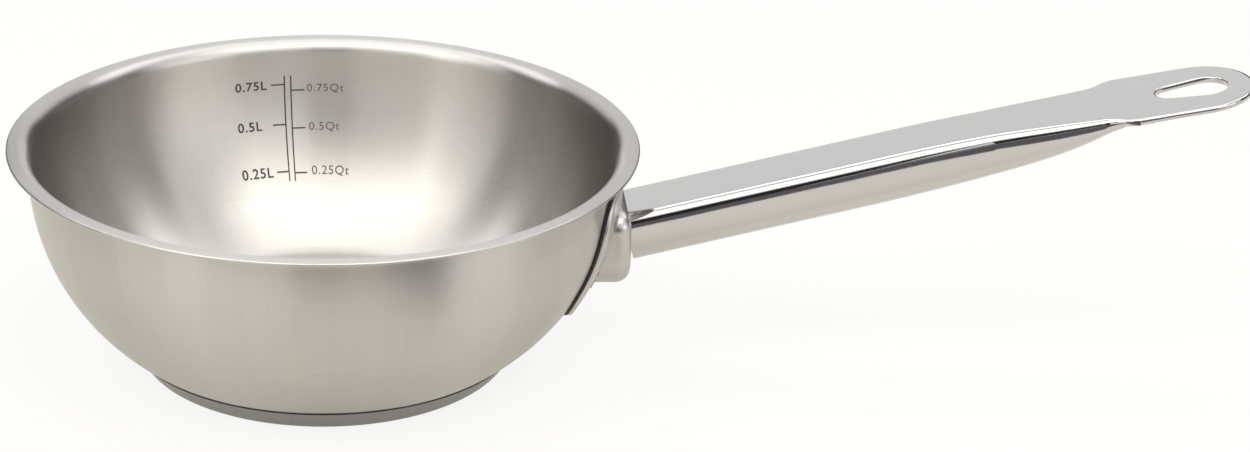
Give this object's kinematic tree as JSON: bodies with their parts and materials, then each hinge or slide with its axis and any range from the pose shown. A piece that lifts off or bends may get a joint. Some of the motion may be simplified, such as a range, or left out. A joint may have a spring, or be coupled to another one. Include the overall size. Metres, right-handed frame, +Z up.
{
  "type": "saucier pan",
  "caption": "Small stainless saucier pan with a round belly, flared pouring rim, sandwich base and a long hollow handle that ends in a flat hanging tongue.",
  "frame": {"origin": "centre of the flat base, on the table", "axes": "+Z up along the bowl's axis, +X from the bowl towards the handle's tip, so the handle lies in the XZ plane"},
  "size_m": [0.3454, 0.173, 0.0833],
  "materials": {
    "satin_bowl": "satin, circular brushed",
    "satin_base": "satin, turned",
    "core": "plain rolled",
    "polished_fittings": "mirror polished stainless steel",
    "polished_handle": "mirror polished stainless steel",
    "weld_metal": "as welded"
  },
  "bodies": {
    "root": {"bowl": "satin_bowl", "core_disc": "core", "base_cap": "satin_base", "weld_plate": "polished_fittings", "plate_welds": "weld_metal", "ferrule": "polished_fittings", "root_weld": "weld_metal", "handle": "polished_handle"}
  },
  "joints": []
}
